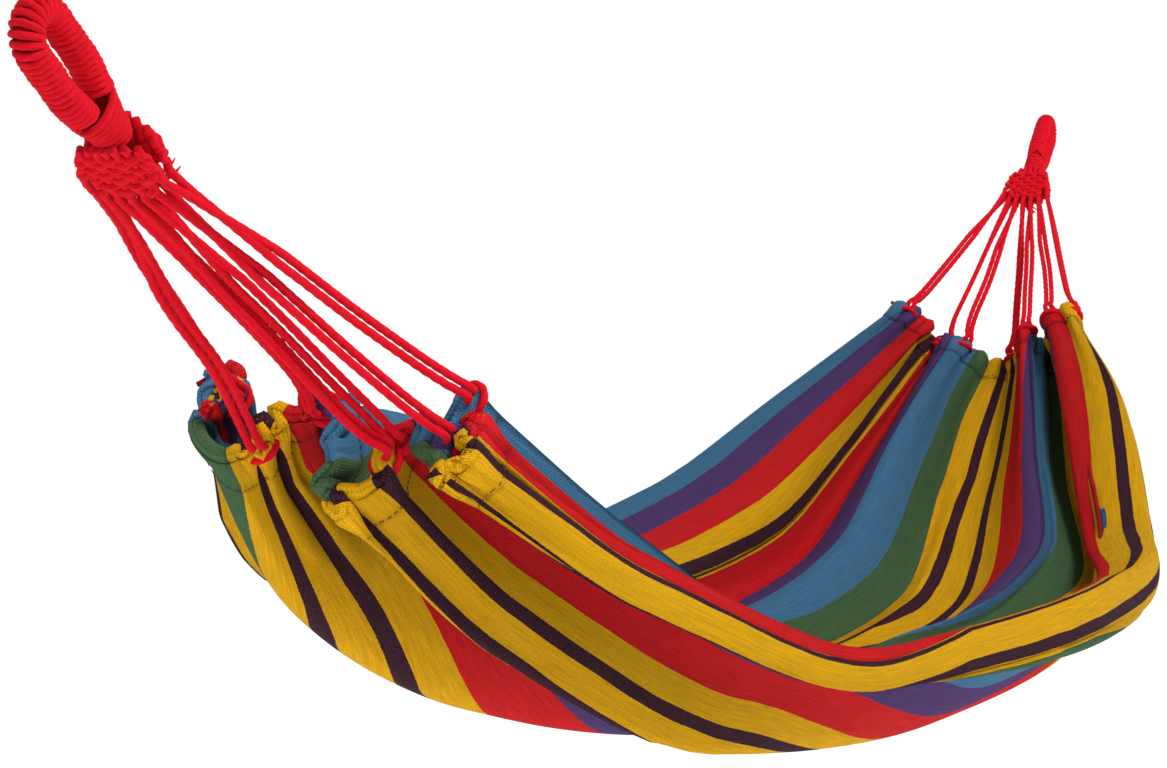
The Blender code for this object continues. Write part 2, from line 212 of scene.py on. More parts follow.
# The wrapped loop.
LOOP_LEG_START = 0.026
LOOP_START_HALF = 0.0125
LOOP_HALF = 0.017
LOOP_RISE = 0.095
LOOP_FLARE = 0.40
WRAP_CORD = 0.0029
WRAP_CENTRE = 0.0092         # from a leg's middle to the wrapping cord's middle
WRAP_PITCH = 0.0049
WRAP_LEAN = 0.0016           # how far a turn leans along the loop
WRAP_UNEVEN = 0.00035
WHIPPING_PITCH = WRAP_PITCH * 0.93
WHIPPING_HEIGHTS = (-0.010, 0.0, 0.007, 0.014, 0.024)
WHIPPING_ALONG = (0.0100, 0.0128, 0.0135, 0.0170, 0.0215)
WHIPPING_ACROSS = (0.0100, 0.0128, 0.0125, 0.0120, 0.0110)

# ---- stage --------------------------------------------------------------------------------------------
CAMERA_LENS = 84.5
CAMERA_FROM_NECK = (-1.546, -1.032, -0.054)
CAMERA_FORWARD = (0.912, 0.405, -0.063)
WORLD_STRENGTH = 0.45
LIGHTS_TARGET = (1.25, 0.0, -0.4)
LIGHTS = (("key", (0.4, -2.2, 2.8), 1.2, 128), ("fill", (-2.4, 1.6, 1.6), 2.6, 25))
FLOOR_LEVEL = -1.6
FLOOR_SIZE = 60.0


# ---- lines and surfaces -------------------------------------------------------------------------------
def smooth(xs, ys, x):
    """Cubic lines through (xs, ys) that never overshoot, read at every x. ys may hold several lines."""
    xs = np.asarray(xs, float)
    ys = np.asarray(ys, float)
    x = np.atleast_1d(np.asarray(x, float))
    flat = ys.reshape(len(xs), -1)
    step = np.diff(xs)[:, None]
    rise = np.diff(flat, axis=0) / step
    m = np.empty_like(flat)
    m[0] = rise[0]
    m[-1] = rise[-1]
    product = rise[:-1] * rise[1:]
    total = rise[:-1] + rise[1:]
    safe = np.where(np.abs(total) < 1e-12, 1.0, total)
    m[1:-1] = np.where(product > 0, 2 * product / safe, 0.0)
    i = np.clip(np.searchsorted(xs, x, side="right") - 1, 0, len(xs) - 2)
    h = step[i]
    t = np.clip((x - xs[i])[:, None] / h, 0, 1)
    value = ((1 + 2 * t) * (1 - t) ** 2 * flat[i] + t * (1 - t) ** 2 * h * m[i]
             + t * t * (3 - 2 * t) * flat[i + 1] + t * t * (t - 1) * h * m[i + 1])
    return value.reshape((len(x),) + ys.shape[1:])


def rounded(points, steps):
    """Centripetal Catmull-Rom curve through the points, and the index of each point on it."""
    p = np.asarray(points, float)
    ends = np.vstack([2 * p[0] - p[1], p, 2 * p[-1] - p[-2]])
    knots = np.r_[0, np.cumsum(np.linalg.norm(np.diff(ends, axis=0), axis=1) ** 0.5)]
    parts = []
    for i in range(1, len(p)):
        q = ends[i - 1:i + 3]
        t = knots[i - 1:i + 3]
        s = np.linspace(t[1], t[2], steps, endpoint=False)[:, None]
        a = [q[k] + (q[k + 1] - q[k]) * (s - t[k]) / (t[k + 1] - t[k]) for k in range(3)]
        b = [a[k] + (a[k + 1] - a[k]) * (s - t[k]) / (t[k + 2] - t[k]) for k in range(2)]
        parts.append(b[0] + (b[1] - b[0]) * (s - t[1]) / (t[2] - t[1]))
    return np.vstack(parts + [p[-1:]]), np.arange(len(p)) * steps


def lengths(points):
    return np.r_[0, np.cumsum(np.linalg.norm(np.diff(points, axis=0), axis=1))]


def resampled(points, pitch):
    """The same line with its points about pitch apart."""
    marks = lengths(points)
    count = max(2, int(round(marks[-1] / pitch)) + 1)
    at = np.linspace(0, marks[-1], count)
    return np.stack([np.interp(at, marks, points[:, k]) for k in range(3)], 1)


def ripple(values, seed, scale):
    """Smooth noise between -1 and 1 along one line, the same on every run."""
    rng = np.random.default_rng(seed)
    low = math.floor(values.min() / scale) - 1
    high = math.ceil(values.max() / scale) + 2
    heights = rng.uniform(-1, 1, high - low + 1)
    place = values / scale - low
    k = np.floor(place).astype(int)
    t = place - k
    t = t * t * (3 - 2 * t)
    return heights[k] * (1 - t) + heights[k + 1] * t


def stripe_place(letter, number, share=0.0):
    """Flat distance from the near selvedge to a place across the numbered stripe of that letter."""
    scale = CLOTH_WIDTH / sum(width for _, width in STRIPES)
    start = 0.0
    seen = 0
    for name, width in STRIPES:
        seen += name == letter
        if name == letter and seen == number:
            return (start + share * width) * scale
        start += width
    raise ValueError(f"there is no stripe {letter} {number}")


def shown_distance(flat_u, x):
    """The flat distance without what the pleats swallow, and how far out of the cloth a pleat carries it."""
    shown = np.array(flat_u, float)
    inside = np.zeros_like(shown)
    for depth, (first, last), stations, amount in PLEATS:
        low = stripe_place(*first)
        high = stripe_place(*last)
        share = float(np.interp(x, stations, amount))
        part = np.clip((flat_u - low) / (high - low), 0, 1)
        shown -= share * (high - low) * part
        inside += depth * share * np.sin(math.pi * part) ** 2
    return shown, inside


def fold_lines():
    """Every fold's (y, z) at the stations, from the near selvedge to the far rim."""
    rim = np.array(RIM)
    near = [rim + np.array(SELVEDGE_STEPS), rim + np.array(TURN_STEPS), rim]
    return np.array(near + [np.array(line) for line in FOLDS_BELOW_RIM])


def fold_marks(arcs, fullness, far_fullness, x):
    """The shown distance at each fold. Faces lie as full as the station says and tucks store what is left."""
    marks = np.zeros(len(arcs) + 1)
    for fold, places in STRIPE_AT_FOLD.items():
        flat = smooth(STRIPE_STATIONS, [stripe_place(*place) for place in places], x)
        marks[fold] = shown_distance(flat, x)[0][0]
    marks[FAR_RIM] = shown_distance(np.array([CLOTH_WIDTH]), x)[0][0]
    for fold, full in ((TURN, fullness), (NEAR_TUCK, fullness), (SECOND_TUCK, far_fullness)):
        marks[fold] = marks[fold + 1] - full * arcs[fold]
    marks[NEAR_ROLL] = marks[NEAR_RIM] + fullness * arcs[NEAR_RIM]
    marks[LOWER_BULGE] = marks[CREASE] - fullness * arcs[LOWER_BULGE]
    marks[FAR_FOOT] = marks[LOWER_BULGE] - fullness * arcs[FAR_FOOT]
    upper = arcs[CREASE] / (arcs[CREASE] + arcs[UPPER_BULGE])
    marks[UPPER_BULGE] = marks[CREASE] + (marks[FAR_RIM] - marks[CREASE]) * upper
    for fold in (NEAR_TUCK, SECOND_TUCK, FAR_FOOT):
        room = marks[fold + 1] - marks[fold - 1]
        least = LEAST_FULLNESS * arcs[fold - 1]
        even = room * arcs[fold - 1] / (arcs[fold - 1] + arcs[fold])
        marks[fold] = max(marks[fold], marks[fold - 1] + min(least, even))
    return marks


def wrapped_under(marks, runs, fullness):
    """The folds' marks and places, with one more below each lobe so that the spare cloth is deep inside."""
    spots = []
    along = []
    for fold, (mark, place) in enumerate(zip(marks, runs)):
        spots.append(mark)
        along.append(place)
        if fold in (NEAR_ROLL, SECOND_LOBE, FAR_LOBE):
            arc = runs[fold + 1] - place
            spots.append(mark + WRAP * min(fullness * arc, marks[fold + 1] - mark))
            along.append(place + WRAP * arc)
    return spots, along


def fold_surface(flat_u, xs):
    """The cloth's middle surface in its big folds. Rows follow xs and columns follow flat_u."""
    held = np.clip(xs, STATIONS[0], STATIONS[-1])
    knots = smooth(STATIONS, fold_lines().transpose(1, 0, 2), held)
    lean = smooth(STATIONS, LEAN, held)
    fullness = smooth(STATIONS, FACE_FULLNESS, held)
    far_fullness = smooth(STATIONS, FAR_LOBE_FULLNESS, held)
    surface = np.zeros((len(xs), len(flat_u), 3))
    squeeze = np.zeros((len(xs), len(flat_u)))
    tucked = np.zeros((len(xs), len(flat_u)))
    for j, x in enumerate(xs):
        curve, index = rounded(knots[j], 24)
        run = lengths(curve)
        arcs = np.diff(run[index])
        marks = fold_marks(arcs, fullness[j], far_fullness[j], held[j])
        shown, tucked[j] = shown_distance(flat_u, held[j])
        spots, along = wrapped_under(marks, run[index], fullness[j])
        place = np.interp(shown, spots, along)
        y = np.interp(place, run, curve[:, 0])
        z = np.interp(place, run, curve[:, 1])
        middle = (knots[j, LEAN_FOLDS[0], 1] + knots[j, LEAN_FOLDS[1], 1]) / 2
        surface[j] = np.stack([x + lean[j] * (z - middle), y, z], 1)
        ratio = arcs / np.maximum(np.diff(marks), 1e-3)
        squeeze[j] = np.interp(shown, (marks[:-1] + marks[1:]) / 2, ratio)
    surface += surface_normals(surface) * tucked[..., None]
    return surface, squeeze


def surface_normals(grid):
    down = np.gradient(grid, axis=0)
    across = np.gradient(grid, axis=1)
    normal = np.cross(across, down)
    return normal / np.maximum(np.linalg.norm(normal, axis=2, keepdims=True), 1e-9)


def row_stations():
    """Where the rows of the cloth lie along x, closest at the hems, and the number of rows in a hem."""
    hem = [0, .0010, .0026, .0048, .0072, .0105, .015, .020, .026, .032, .037, HEM_DEPTH]
    reach = list(hem)
    step = 0.004
    half = (STATIONS[-1] - STATIONS[0]) / 2 * 1.02
    while reach[-1] / SLANT < half - 0.01:
        step = min(step * 1.06, 0.018)
        reach.append(reach[-1] + step)
    reach = np.array(reach) / SLANT
    middle = (STATIONS[0] + STATIONS[-1]) / 2
    top = STATIONS[0] - HEM_RADIUS / SLANT
    scale = (middle - top) / reach[-1]
    bend = np.clip((reach - reach[len(hem) - 1]) / (reach[-1] - reach[len(hem) - 1]), 0, 1)
    reach = reach * (1 + (scale - 1) * bend)
    head = top + reach
    foot = 2 * middle - head[::-1]
    return np.r_[head, foot[1:]], len(hem)


# ---- mesh helpers -------------------------------------------------------------------------------------
def mesh_object(name, points, faces, uv=None, smooth_faces=True):
    """An object from arrays of points, in the neck frame, and quads. uv is given for each point."""
    mesh = bpy.data.meshes.new(name)
    points = np.asarray(points, float) + NECK
    mesh.from_pydata(points.tolist(), [], [list(map(int, f)) for f in faces])
    if uv is not None:
        layer = mesh.uv_layers.new(name="flat")
        loops = np.empty(len(mesh.loops), np.int32)
        mesh.loops.foreach_get("vertex_index", loops)
        layer.data.foreach_set("uv", np.asarray(uv, np.float32)[loops].ravel())
    if smooth_faces:
        mesh.polygons.foreach_set("use_smooth", [True] * len(mesh.polygons))
    mesh.update()
    obj = bpy.data.objects.new(name, mesh)
    bpy.context.scene.collection.objects.link(obj)
    return obj


def frames_along(points):
    """Tangents and two steady normals along a line."""
    tangent = np.gradient(points, axis=0)
    tangent /= np.linalg.norm(tangent, axis=1, keepdims=True)
    first = np.cross(tangent[0], [0.3, 0.5, 0.81])
    first /= np.linalg.norm(first)
    normals = [first]
    for k in range(1, len(points)):
        n = normals[-1] - tangent[k] * (normals[-1] @ tangent[k])
        normals.append(n / np.linalg.norm(n))
    normal = np.array(normals)
    return tangent, normal, np.cross(tangent, normal)


def strand(points, radius, lay=0.011, lobes=3, sides=12, depth=0.16, taper=0.0, phase=0.0, step=None):
    """Points, quads and uv of one twisted cord along a line, closed at both ends."""
    line = resampled(np.asarray(points, float), step or lay / 7)
    _, a, b = frames_along(line)
    run = lengths(line)
    turn = 2 * math.pi * np.arange(sides) / sides
    twist = 2 * math.pi * run / lay + phase
    radii = np.full(len(line), radius)
    if taper:
        near = np.minimum(run, run[-1] - run)
        radii = radius * np.clip(near / taper, 0.05, 1) ** 0.5
    bulge = 1 - depth * (1 - np.abs(np.cos(lobes / 2 * (turn[None] - twist[:, None] / lobes))))
    r = radii[:, None] * bulge
    ring = (line[:, None] + a[:, None] * (r * np.cos(turn))[..., None]
            + b[:, None] * (r * np.sin(turn))[..., None])
    n = len(line)
    points_out = np.vstack([ring.reshape(-1, 3), line[:1], line[-1:]])
    j, i = np.meshgrid(np.arange(n - 1), np.arange(sides), indexing="ij")
    k = (i + 1) % sides
    above = (j + 1) * sides
    quads = np.stack([j * sides + i, j * sides + k, above + k, above + i], -1).reshape(-1, 4)
    faces = [tuple(q) for q in quads]
    for i in range(sides):
        k = (i + 1) % sides
        faces.append((n * sides, k, i))
        faces.append((n * sides + 1, (n - 1) * sides + i, (n - 1) * sides + k))
    around = (np.tile(turn, n) - np.repeat(twist, sides) / lobes) / (2 * math.pi)
    uv = np.stack([np.repeat(run, sides), around], 1)
    uv = np.vstack([uv, [[0, 0]], [[run[-1], 0]]])
    return points_out, faces, uv


def joined(parts):
    """Several (points, faces, uv) as one."""
    points = []
    faces = []
    uvs = []
    start = 0
    for p, f, uv in parts:
        points.append(p)
        uvs.append(uv)
        faces.extend(tuple(int(v) + start for v in face) for face in f)
        start += len(p)
    return np.vstack(points), faces, np.vstack(uvs)


# ---- materials ----------------------------------------------------------------------------------------
class Nodes:
    """Short names for building a material's nodes."""

    def __init__(self, name):
        self.material = bpy.data.materials.new(name)
        self.material.use_nodes = True
        self.tree = self.material.node_tree
        self.shader = self.tree.nodes["Principled BSDF"]

    def link(self, source, target):
        self.tree.links.new(source, target)

    def add(self, kind, **settings):
        node = self.tree.nodes.new(kind)
        for key, value in settings.items():
            setattr(node, key, value)
        return node

    def feed(self, socket, value):
        if isinstance(value, bpy.types.NodeSocket):
            self.link(value, socket)
        else:
            socket.default_value = value

    def math(self, operation, a, b=0.0, c=0.0):
        node = self.add("ShaderNodeMath", operation=operation)
        for socket, value in zip(node.inputs, (a, b, c)):
            self.feed(socket, value)
        return node.outputs[0]

    def noise(self, vector, scale, detail=2.0, roughness=0.5):
        node = self.add("ShaderNodeTexNoise")
        self.link(vector, node.inputs["Vector"])
        node.inputs["Scale"].default_value = scale
        node.inputs["Detail"].default_value = detail
        node.inputs["Roughness"].default_value = roughness
        return node.outputs["Fac"]

    def vector(self, x, y, z=0.0):
        node = self.add("ShaderNodeCombineXYZ")
        for socket, value in zip(node.inputs, (x, y, z)):
            self.feed(socket, value)
        return node.outputs[0]

    def mix(self, factor, a, b, blend="MIX"):
        node = self.add("ShaderNodeMix", data_type="RGBA", blend_type=blend)
        self.feed(node.inputs["Factor"], factor)
        for socket, value in ((node.inputs["A"], a), (node.inputs["B"], b)):
            self.feed(socket, value)
        return node.outputs["Result"]

    def ramp(self, factor, stops, interpolation="LINEAR"):
        node = self.add("ShaderNodeValToRGB")
        self.link(factor, node.inputs["Fac"])
        bands = node.color_ramp
        bands.interpolation = interpolation
        for k, (at, colour) in enumerate(stops):
            band = bands.elements[k] if k < 2 else bands.elements.new(at)
            band.position = at
            band.color = (*colour, 1.0)
        return node.outputs["Color"]

    def bump(self, height, distance, strength=1.0, onto=None):
        node = self.add("ShaderNodeBump")
        node.inputs["Strength"].default_value = strength
        node.inputs["Distance"].default_value = distance
        self.link(height, node.inputs["Height"])
        if onto is not None:
            self.link(onto, node.inputs["Normal"])
        return node.outputs["Normal"]


def grey(value):
    return (value, value, value)


def stripe_stops(group):
    total = sum(width for _, width in group)
    stops = []
    at = 0.0
    for name, width in group:
        stops.append((at / total, STRIPE_COLOURS[name]))
        at += width
    return stops, total


def cloth_material():
    n = Nodes("striped cloth")
    uv = n.add("ShaderNodeUVMap", uv_map="flat").outputs["UV"]
    parts = n.add("ShaderNodeSeparateXYZ")
    n.link(uv, parts.inputs[0])
    across, along = parts.outputs["X"], parts.outputs["Y"]
    drift = n.noise(n.vector(n.math("MULTIPLY", across, 6.0), n.math("MULTIPLY", along, 3.0)), 5.0, 2.0)
    jag = n.noise(n.vector(n.math("MULTIPLY", across, 200.0), n.math("MULTIPLY", along, 700.0)), 1.0, 1.0)
    shift = n.math("ADD", n.math("MULTIPLY", n.math("SUBTRACT", drift, 0.5), 0.004),
                   n.math("MULTIPLY", n.math("SUBTRACT", jag, 0.5), 0.0016))
    u = n.math("ADD", across, shift)
    scale = CLOTH_WIDTH / sum(width for _, width in STRIPES)
    stops, total = stripe_stops(GROUP)
    missing = (GROUP[0][1] + GROUP[1][1] - NEAR_GROUP[0][1]) * scale
    turn = n.math("FRACT", n.math("DIVIDE", n.math("ADD", u, missing), total * scale))
    repeat = n.ramp(turn, stops, "CONSTANT")
    far_stops, far_total = stripe_stops(FAR_GROUP)
    far_start = CLOTH_WIDTH - far_total * scale
    far = n.ramp(n.math("DIVIDE", n.math("SUBTRACT", u, far_start), far_total * scale), far_stops, "CONSTANT")
    colour = n.mix(n.math("GREATER_THAN", u, far_start), repeat, far)
    # The weave: warp threads along the bed, and a darker weft showing between them.
    warp = n.math("DIVIDE", across, WEAVE_PITCH)
    weft = n.math("DIVIDE", along, WEAVE_PITCH)
    parity = n.math("MODULO", n.math("ADD", n.math("FLOOR", warp), n.math("FLOOR", weft)), 2.0)
    warp_round = n.math("ABSOLUTE", n.math("SINE", n.math("MULTIPLY", warp, math.pi)))
    weft_round = n.math("ABSOLUTE", n.math("SINE", n.math("MULTIPLY", weft, math.pi)))
    thread = n.add("ShaderNodeMix", data_type="FLOAT")
    n.link(parity, thread.inputs["Factor"])
    n.link(warp_round, thread.inputs["A"])
    n.link(weft_round, thread.inputs["B"])
    height = thread.outputs["Result"]
    slub_place = n.vector(n.math("MULTIPLY", across, 420.0), n.math("MULTIPLY", along, 22.0))
    slub = n.noise(slub_place, 1.0, 3.0, 0.6)
    tone = n.ramp(slub, ((0.30, grey(0.80)), (0.70, grey(1.14))))
    colour = n.mix(1.0, colour, tone, "MULTIPLY")
    speck = n.noise(n.vector(n.math("MULTIPLY", across, 900.0), n.math("MULTIPLY", along, 500.0)), 1.0, 2.0)
    specked = n.ramp(speck, ((0.42, grey(0.0)), (0.62, grey(1.0))))
    shown = n.math("MULTIPLY", n.math("MULTIPLY", parity, specked), WEFT_SHOWN)
    weft_colour = n.mix(0.55, colour, WEFT_COLOUR)
    colour = n.mix(shown, colour, weft_colour)
    # Painted shade: the colour darkens where the thread height drops, in the grooves between threads.
    painted_gap_shade = n.ramp(height, ((0.0, grey(0.62)), (0.55, grey(1.0))))
    colour = n.mix(0.55, colour, n.mix(1.0, colour, painted_gap_shade, "MULTIPLY"))
    worn = n.noise(uv, 9.0, 4.0, 0.6)
    colour = n.mix(n.math("MULTIPLY", worn, 0.03), colour, WORN_COLOUR)
    n.link(colour, n.shader.inputs["Base Color"])
    n.link(n.ramp(worn, ((0.3, grey(0.82)), (0.7, grey(0.95)))), n.shader.inputs["Roughness"])
    n.shader.inputs["Specular IOR Level"].default_value = 0.05
    coarse = n.bump(slub, 0.0010, 0.6)
    n.link(n.bump(height, 0.0008, 1.0, onto=coarse), n.shader.inputs["Normal"])
    return n.material


def cord_material(name, colour, dark):
    n = Nodes(name)
    uv = n.add("ShaderNodeUVMap", uv_map="flat").outputs["UV"]
    parts = n.add("ShaderNodeSeparateXYZ")
    n.link(uv, parts.inputs[0])
    along, around = parts.outputs["X"], parts.outputs["Y"]
    fibre_place = n.vector(n.math("MULTIPLY", along, 260.0), n.math("MULTIPLY", around, 42.0))
    fibre = n.noise(fibre_place, 1.0, 3.0, 0.65)
    patch = n.noise(n.vector(n.math("MULTIPLY", along, 30.0), n.math("MULTIPLY", around, 3.0)), 1.0, 2.0)
    tone = n.ramp(fibre, ((0.28, dark), (0.62, colour)))
    light = tuple(min(1.0, c * 1.12 + 0.01) for c in colour)
    tone = n.mix(n.math("MULTIPLY", patch, 0.5), tone, (*light, 1.0))
    n.link(tone, n.shader.inputs["Base Color"])
    n.link(n.ramp(fibre, ((0.2, grey(0.95)), (0.8, grey(0.75)))), n.shader.inputs["Roughness"])
    n.shader.inputs["Specular IOR Level"].default_value = 0.06
    n.shader.inputs["Sheen Weight"].default_value = 0.06
    n.shader.inputs["Sheen Roughness"].default_value = 0.4
    n.shader.inputs["Sheen Tint"].default_value = (1.0, 0.35, 0.32, 1.0)
    n.link(n.bump(fibre, 0.0010, 0.8), n.shader.inputs["Normal"])
    return n.material


# ---- the cloth and its hems ---------------------------------------------------------------------------
def hem_swell(reach):
    """Half the thickness at a distance from the hem's top edge: round over the rope, then to the seam."""
    nose = np.clip(reach / HEM_RADIUS, 0, 1)
    fall = np.clip((reach - HEM_RADIUS) / (HEM_DEPTH - HEM_RADIUS), 0, 1)
    fall = fall * fall * (3 - 2 * fall)
    tunnel = np.where(reach < HEM_RADIUS, HEM_RADIUS * np.sqrt(np.maximum(1 - (1 - nose) ** 2, 0)),
                      SEAM_HALF + (HEM_RADIUS - SEAM_HALF) * (1 - fall))
    return np.where(reach > HEM_DEPTH + 1e-6, SHEET_HALF, tunnel)


def pleats(flat_u, squeeze, reach, seed):
    """How far the gathers push the cloth out of its middle surface, near one hem."""
    tight = np.sqrt(np.clip(squeeze * (1 - squeeze), 0, 0.25))
    height = np.zeros_like(squeeze)
    for k, (pitch, share, fade) in enumerate(GATHERS):
        wander = 0.45 * ripple(flat_u, seed + k, pitch * 2.3) + 0.8 * ripple(flat_u, seed + 9 + k, 0.31)
        phase = 2 * math.pi * (flat_u / pitch + wander)
        wave = np.sin(phase)
        wave = np.sign(wave) * np.abs(wave) ** 0.8
        size = 0.65 + 0.35 * ripple(flat_u, seed + 20 + k, pitch * 3.1)
        fade_here = np.exp(-reach / (fade * (1 + 0.35 * ripple(flat_u, seed + 30 + k, 0.09))))
        height += share * pitch / math.pi * tight * wave * size * fade_here
    return height


def sheet_faces(rows):
    """Quads of a closed sheet of cloth: its front and back, and the four walls between them."""
    count = rows * COLUMNS
    j, i = np.meshgrid(np.arange(rows - 1), np.arange(COLUMNS - 1), indexing="ij")
    base = (j * COLUMNS + i).ravel()
    quads = np.stack([base, base + 1, base + COLUMNS + 1, base + COLUMNS], 1)
    faces = [quads[:, ::-1], quads + count]
    down = np.arange(rows - 1) * COLUMNS
    across = np.arange(COLUMNS - 1)
    for first, step, flip in ((down, COLUMNS, False), (down + COLUMNS - 1, COLUMNS, True),
                              (across, 1, True), (across + (rows - 1) * COLUMNS, 1, False)):
        wall = np.stack([first, first + step, first + step + count, first + count], 1)
        faces.append(wall[:, ::-1] if flip else wall)
    return np.vstack(faces)


def build_cloth(finish):
    flat_u = np.linspace(0, CLOTH_WIDTH, COLUMNS)
    xs, hem_rows = row_stations()
    surface, squeeze = fold_surface(flat_u, xs)
    steps = np.linalg.norm(np.diff(surface, axis=0), axis=2)
    run = np.mean(np.r_[np.zeros((1, COLUMNS)), np.cumsum(steps, 0)], 1)
    reach = {"head": run[:, None], "foot": (run[-1] - run)[:, None]}
    normal = surface_normals(surface)
    lift = pleats(flat_u, squeeze, reach["head"], 11) + pleats(flat_u, squeeze, reach["foot"], 57)
    creases = np.outer(np.sin(math.pi * run / run[-1]) ** 0.5, ripple(flat_u, 91, 0.045))
    drift = np.array([ripple(flat_u + 0.25 * s, 92, 0.10) for s in run])
    lift += CREASE_HEIGHT * creases + RUMPLE_HEIGHT * drift
    surface = surface + normal * lift[..., None]
    normal = surface_normals(surface)
    along = np.where(reach["head"] < reach["foot"], reach["head"], run[-1] - reach["foot"])
    along = along * CLOTH_LENGTH / run[-1]
    along = np.broadcast_to(along, surface.shape[:2])
    rows = len(xs)
    swell = np.where(reach["head"] < reach["foot"], hem_swell(reach["head"]), hem_swell(reach["foot"]))
    swell = np.broadcast_to(swell, surface.shape[:2])
    spans = {"head_hem": (0, hem_rows), "bed_cloth": (hem_rows - 1, rows - hem_rows + 1),
             "foot_hem": (rows - hem_rows, rows)}
    made = {}
    for name, (low, high) in spans.items():
        part = slice(low, high)
        thick = swell[part].copy()
        if name == "bed_cloth":
            thick[:] = SHEET_HALF
        offset = normal[part] * thick[..., None]
        front = surface[part] + offset
        back = surface[part] - offset
        n = high - low
        points = np.vstack([front.reshape(-1, 3), back.reshape(-1, 3)])
        uv = np.stack([np.broadcast_to(flat_u, (n, COLUMNS)), along[part]], -1).reshape(-1, 2)
        obj = mesh_object(name + "_look", points, sheet_faces(n), np.vstack([uv, uv]))
        obj.data.materials.append(finish)
        made[name] = obj
        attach(obj, "bed")
        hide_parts(name)
    return made, {"surface": surface, "normal": normal, "flat_u": flat_u, "run": run, "hem_rows": hem_rows}


# ---- cords, collars and loops -------------------------------------------------------------------------
def unit(v):
    return v / np.linalg.norm(v)


def end_axes(end):
    """The neck, the direction up along the loop, and the collar's depth direction."""
    up = unit(UPS[end])
    return NECKS[end], up, np.cross(SIDE, up)


def strand_object(name, lines, finish, body, node=None, radius=CORD_RADIUS, lay=CORD_LAY, **shape):
    parts = [strand(line, radius, lay, phase=0.7 * k, **shape) for k, line in enumerate(lines)]
    obj = mesh_object(name, *joined(parts))
    obj.data.materials.append(finish)
    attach(obj, body)
    if node:
        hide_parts(node)
    return obj


def collar_point(end, share, height, layer):
    """A point of the collar: share is -1 to 1 across it, and layer is -1 or 1 for its back or front."""
    neck, up, deep = end_axes(end)
    wide = np.interp(height, COLLAR_HEIGHTS, COLLAR_HALF_WIDTH)
    thick = np.interp(height, COLLAR_HEIGHTS, COLLAR_HALF_DEPTH)
    round_off = np.interp(height, (-0.03, 0.0), (0.0, 0.8))
    thick = thick * math.sqrt(max(0.0, 1 - round_off * share * share))
    shift = COLLAR_SHIFT[end] * float(np.clip(height / COLLAR_FOOT, 0, 1))
    return neck + shift + up * height + SIDE * (share * wide) + deep * (layer * thick)


def collar_warp(end, number, share, layer):
    """A cord's way from the neck down to where it leaves the collar, in and out of the weft."""
    _, _, deep = end_axes(end)
    foot = COLLAR_FOOT + COLLAR_SHOULDER * share * share
    points = []
    for height in np.linspace(COLLAR_TOP - COLLAR_SLOPE * share * share, foot, 20):
        inside = min(WOVEN_TOP - height, height - foot) / WOVEN_FADE
        woven = float(np.clip(inside, 0, 1))
        sway = math.cos(math.pi * (height - WEFT_TOP) / WEFT_STEP + math.pi * number)
        points.append(collar_point(end, share, height, layer) + deep * (layer * WARP_SWAY * woven * sway))
    return points


def weft(end, layer, count):
    """One cord going to and fro across the collar's face, over and under its warp."""
    _, _, deep = end_axes(end)
    points = []
    for row in range(WEFT_ROWS):
        height = WEFT_TOP - WEFT_STEP * row
        order = range(count) if row % 2 == 0 else range(count - 1, -1, -1)
        reach = 1.0 - WEFT_NARROWS * max(0, row - WEFT_FULL_ROWS)
        for number in order:
            share = 2 * number / (count - 1) - 1
            if abs(share) > reach:
                continue
            lift = WEFT_OVER if (number + row) % 2 else WEFT_UNDER
            points.append(collar_point(end, share, height, layer) + deep * (layer * lift))
    return rounded(points, 4)[0]


def cad_tie(end, number):
    """Where the CAD cord meets the hem: the middle of its end that is farthest along the bed, as (y, z)."""
    cad = bpy.data.objects[f"{end}_cord_{number + 1}"]
    points = np.array([vertex.co for vertex in cad.data.vertices]) - NECK
    away = points[:, 0] if end == "head" else -points[:, 0]
    return points[away > away.max() - TIE_REACH][:, 1:].mean(axis=0)


